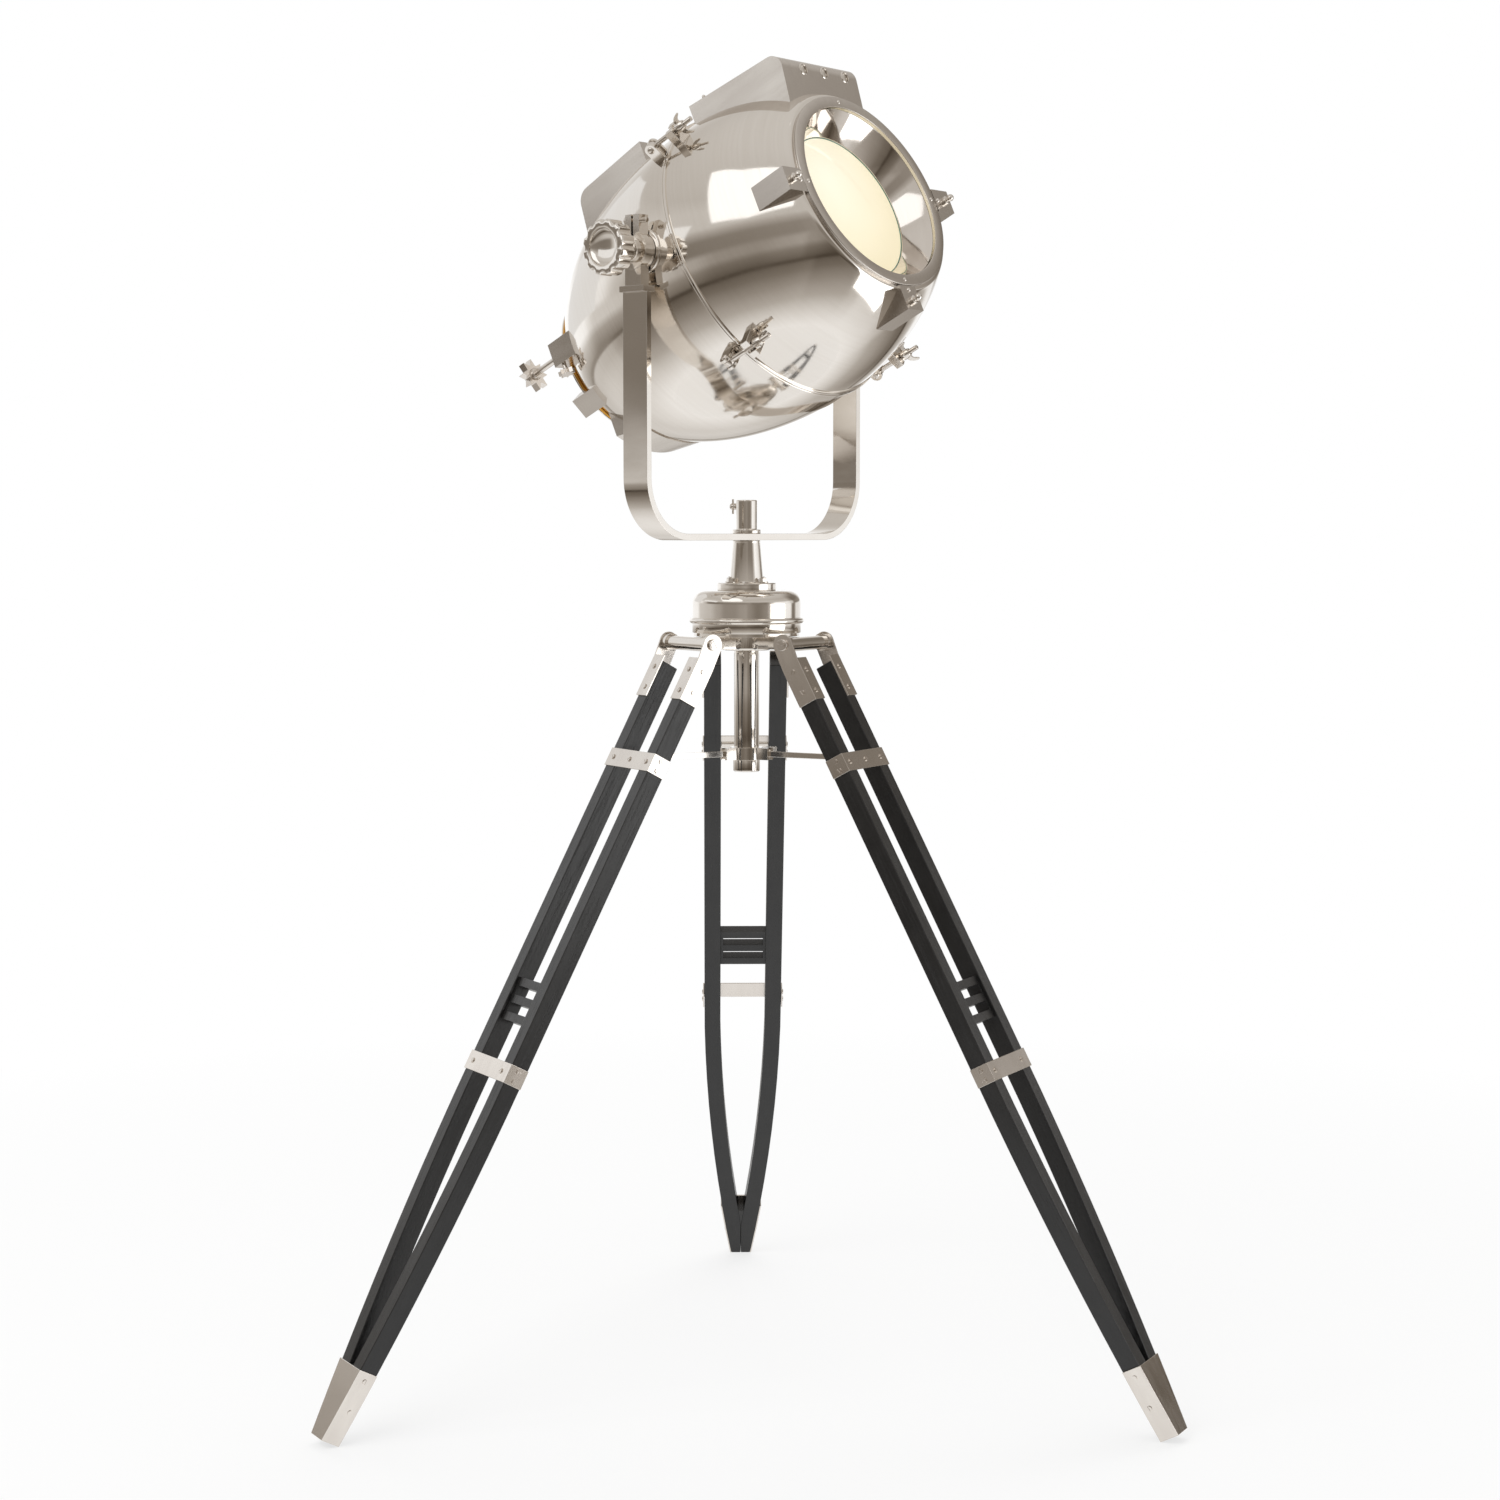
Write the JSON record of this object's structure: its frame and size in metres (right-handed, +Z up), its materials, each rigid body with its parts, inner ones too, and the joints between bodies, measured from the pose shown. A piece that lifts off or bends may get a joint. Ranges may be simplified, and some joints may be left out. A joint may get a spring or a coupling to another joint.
{
  "type": "floor lamp",
  "caption": "Studio searchlight floor lamp: polished egg-shaped head in a tilting U yoke on a folding black wooden tripod.",
  "frame": {"origin": "on the floor, straight under the column", "axes": "+Z up, +X to the right as the lamp is seen from the front, +Y towards the back leg"},
  "size_m": [1.0236, 0.8864, 1.6163],
  "materials": {
    "polished_nickel": "polished nickel plate on steel and brass fittings, with fine rub marks",
    "plated_shell": "spun sheet, nickel plated and polished, faintly wavy",
    "black_wood": "straight-grained wood under satin black lacquer",
    "brass": "bare brass ring",
    "frosted_glass": "frosted glass with a clear green edge",
    "bulb_glass": "opal glass bulb",
    "holder_plastic": "black moulded lamp holder"
  },
  "bodies": {
    "stand": {"crown": "polished_nickel", "crown_cover": "plated_shell", "neck": "polished_nickel", "neck_bolts": "polished_nickel", "hinge_pins": "polished_nickel", "column": "polished_nickel", "column_cap": "polished_nickel"},
    "leg_left": {"leg_left_rail_left": "black_wood", "leg_left_rail_right": "black_wood", "leg_left_spacers": "black_wood", "leg_left_straps": "polished_nickel", "leg_left_boot": "polished_nickel"},
    "leg_right": {"leg_right_rail_left": "black_wood", "leg_right_rail_right": "black_wood", "leg_right_spacers": "black_wood", "leg_right_straps": "polished_nickel", "leg_right_boot": "polished_nickel"},
    "leg_back": {"leg_back_rail_left": "black_wood", "leg_back_rail_right": "black_wood", "leg_back_spacers": "black_wood", "leg_back_straps": "polished_nickel", "leg_back_boot": "polished_nickel"},
    "collar": {"stay_collar": "polished_nickel"},
    "stay_left": {"stay_left": "polished_nickel"},
    "stay_right": {"stay_right": "polished_nickel"},
    "stay_back": {"stay_back": "polished_nickel"},
    "collar_screw": {"collar_screw": "polished_nickel"},
    "yoke": {"yoke": "polished_nickel", "yoke_clamps": "polished_nickel", "spigot": "polished_nickel"},
    "spigot_screw": {"spigot_screw": "polished_nickel"},
    "head": {"rear_shell": "plated_shell", "front_shell": "plated_shell", "bezel": "polished_nickel", "funnel": "plated_shell", "lens": "frosted_glass", "front_hood": "plated_shell", "rear_hood": "plated_shell", "bottom_hood": "plated_shell", "rear_ring": "brass", "rear_cover": "plated_shell", "clips": "polished_nickel", "clip_screws": "polished_nickel", "latch_lugs": "polished_nickel", "latch_forks": "polished_nickel", "switch_box": "polished_nickel", "bulb_holder": "holder_plastic", "bulb": "bulb_glass"},
    "tilt_knob_left": {"tilt_knob_left": "polished_nickel"},
    "tilt_knob_right": {"tilt_knob_right": "polished_nickel"},
    "swing_bolt_1": {"swing_bolt_1": "polished_nickel"},
    "swing_bolt_2": {"swing_bolt_2": "polished_nickel"},
    "swing_bolt_3": {"swing_bolt_3": "polished_nickel"},
    "swing_bolt_4": {"swing_bolt_4": "polished_nickel"},
    "wing_nut_1": {"wing_nut_1": "polished_nickel"},
    "wing_nut_2": {"wing_nut_2": "polished_nickel"},
    "wing_nut_3": {"wing_nut_3": "polished_nickel"},
    "wing_nut_4": {"wing_nut_4": "polished_nickel"},
    "focus_knob": {"focus_knob": "polished_nickel"},
    "switch_knob": {"switch_knob": "polished_nickel"}
  },
  "joints": [
    {"name": "leg_right_fold", "type": "hinge", "parent": "stand", "child": "leg_right", "pos_m": [0.06968, -0.04023, 0.92071], "axis": [0.5, 0.866, 0], "range_deg": [0, 18]},
    {"name": "leg_left_fold", "type": "hinge", "parent": "stand", "child": "leg_left", "pos_m": [-0.06968, -0.04023, 0.92071], "axis": [0.5, -0.866, 0], "range_deg": [0, 18]},
    {"name": "leg_back_fold", "type": "hinge", "parent": "stand", "child": "leg_back", "pos_m": [0, 0.08046, 0.92071], "axis": [-1, 0, 0], "range_deg": [0, 18]},
    {"name": "collar_slide", "type": "slide", "parent": "stand", "child": "collar", "axis": [0, 0, 1], "range_m": [0, 0.091]},
    {"name": "stay_left_swing", "type": "hinge", "parent": "collar", "child": "stay_left", "pos_m": [-0.02425, -0.014, 0.7828], "axis": [0.5, -0.866, 0], "range_deg": [0, 56]},
    {"name": "stay_right_swing", "type": "hinge", "parent": "collar", "child": "stay_right", "pos_m": [0.02425, -0.014, 0.7828], "axis": [0.5, 0.866, 0], "range_deg": [0, 56]},
    {"name": "stay_back_swing", "type": "hinge", "parent": "collar", "child": "stay_back", "pos_m": [0, 0.028, 0.7828], "axis": [-1, 0, 0], "range_deg": [0, 56]},
    {"name": "collar_screw_turn", "type": "hinge", "parent": "collar", "child": "collar_screw", "pos_m": [0.01784, 0.0103, 0.7828], "axis": [0.866, 0.5, 0], "continuous": true},
    {"name": "head_pan", "type": "hinge", "parent": "stand", "child": "yoke", "pos_m": [0, 0, 1.047], "axis": [0, 0, 1], "continuous": true},
    {"name": "spigot_screw_turn", "type": "hinge", "parent": "yoke", "child": "spigot_screw", "pos_m": [-0.00985, 0.00863, 1.0885], "axis": [-0.7521, 0.6591, 0], "continuous": true},
    {"name": "head_tilt", "type": "hinge", "parent": "yoke", "child": "head", "pos_m": [0, 0, 1.3861], "axis": [-0.6591, -0.7521, 0], "range_deg": [-115, 65]},
    {"name": "tilt_knob_left_turn", "type": "hinge", "parent": "head", "child": "tilt_knob_left", "pos_m": [-0.15554, -0.17749, 1.3861], "axis": [-0.6591, -0.7521, 0], "continuous": true},
    {"name": "tilt_knob_right_turn", "type": "hinge", "parent": "head", "child": "tilt_knob_right", "pos_m": [0.15554, 0.17749, 1.3861], "axis": [0.6591, 0.7521, 0], "continuous": true},
    {"name": "swing_bolt_1_swing", "type": "hinge", "parent": "head", "child": "swing_bolt_1", "pos_m": [-0.1135, -0.08951, 1.51373], "axis": [-0.2415, -0.7286, -0.641], "range_deg": [0, 100]},
    {"name": "wing_nut_1_turn", "type": "hinge", "parent": "swing_bolt_1", "child": "wing_nut_1", "pos_m": [-0.08324, -0.11604, 1.53248], "axis": [0.6817, -0.5974, 0.4223], "continuous": true},
    {"name": "swing_bolt_2_swing", "type": "hinge", "parent": "head", "child": "swing_bolt_2", "pos_m": [-0.02322, -0.16863, 1.25607], "axis": [0.6906, 0.335, -0.641], "range_deg": [0, 100]},
    {"name": "wing_nut_2_turn", "type": "hinge", "parent": "swing_bolt_2", "child": "wing_nut_2", "pos_m": [0.00705, -0.19516, 1.27482], "axis": [0.6817, -0.5974, 0.4223], "continuous": true},
    {"name": "swing_bolt_3_swing", "type": "hinge", "parent": "head", "child": "swing_bolt_3", "pos_m": [0.16412, 0.04515, 1.25607], "axis": [0.2415, 0.7286, 0.641], "range_deg": [0, 100]},
    {"name": "wing_nut_3_turn", "type": "hinge", "parent": "swing_bolt_3", "child": "wing_nut_3", "pos_m": [0.19439, 0.01862, 1.27482], "axis": [0.6817, -0.5974, 0.4223], "continuous": true},
    {"name": "swing_bolt_4_swing", "type": "hinge", "parent": "head", "child": "swing_bolt_4", "pos_m": [0.07384, 0.12427, 1.51373], "axis": [-0.6906, -0.335, 0.641], "range_deg": [0, 100]},
    {"name": "wing_nut_4_turn", "type": "hinge", "parent": "swing_bolt_4", "child": "wing_nut_4", "pos_m": [0.10411, 0.09774, 1.53248], "axis": [0.6817, -0.5974, 0.4223], "continuous": true},
    {"name": "focus_knob_turn", "type": "hinge", "parent": "head", "child": "focus_knob", "pos_m": [-0.23341, 0.05696, 1.27492], "axis": [-0.6817, 0.5974, -0.4223], "continuous": true},
    {"name": "switch_knob_turn", "type": "hinge", "parent": "head", "child": "switch_knob", "pos_m": [-0.22651, 0.04094, 1.26504], "axis": [0.3176, -0.2783, -0.9065], "continuous": true}
  ],
  "couplings": [
    {"joint": "leg_left_fold", "follows": "leg_right_fold", "ratio": 1},
    {"joint": "leg_back_fold", "follows": "leg_right_fold", "ratio": 1},
    {"joint": "collar_slide", "follows": "leg_right_fold", "m_per_rad": 0.28966},
    {"joint": "stay_left_swing", "follows": "leg_right_fold", "ratio": 3.1111},
    {"joint": "stay_right_swing", "follows": "leg_right_fold", "ratio": 3.1111},
    {"joint": "stay_back_swing", "follows": "leg_right_fold", "ratio": 3.1111}
  ]
}
